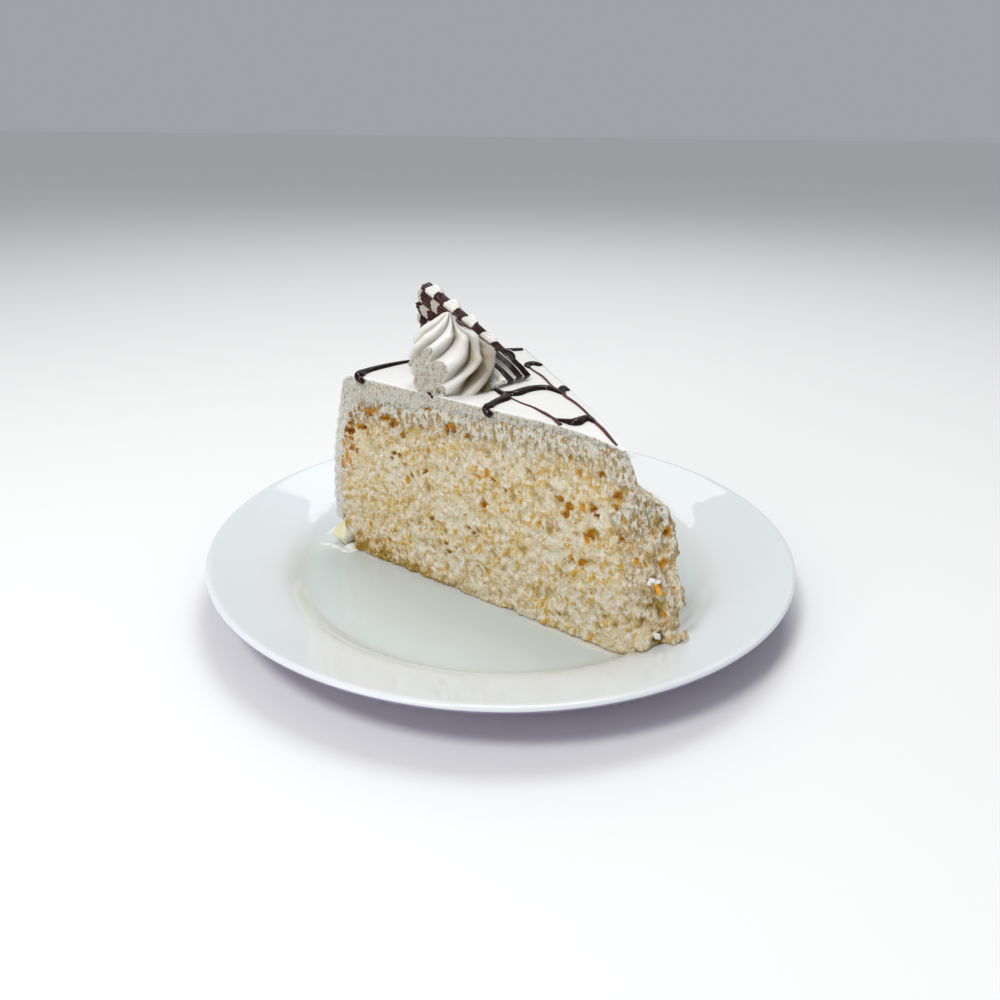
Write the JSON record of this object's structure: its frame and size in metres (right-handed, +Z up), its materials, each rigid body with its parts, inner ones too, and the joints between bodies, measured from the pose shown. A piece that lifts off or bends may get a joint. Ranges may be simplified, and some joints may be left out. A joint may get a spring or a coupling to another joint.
{
  "type": "slice of tres leches cake on a plate",
  "caption": "Tall wedge of milk-soaked sponge with whipped cream, chocolate web, rosette and striped chocolate ruffle on a round rimmed porcelain plate.",
  "frame": {"origin": "middle of the plate, on the table", "axes": "+Z up, -Y towards the point of the slice, +X to the right when the near cut faces the viewer"},
  "size_m": [0.23, 0.23, 0.1161],
  "materials": {
    "porcelain": "clear glossy glaze",
    "soaked_sponge": "moist open crumb, cut",
    "whipped_cream": "satin, spread smooth",
    "piped_cream": "satin, piped",
    "striped_chocolate": "dark and white chocolate, scraped, semi-gloss",
    "chocolate_sauce": "wet gloss",
    "fruit": "wet soft fruit"
  },
  "bodies": {
    "root": {"plate": "porcelain", "sponge": "soaked_sponge", "icing": "whipped_cream", "rosette": "piped_cream", "chocolate_fan": "striped_chocolate", "foot_border": "piped_cream"}
  },
  "joints": []
}
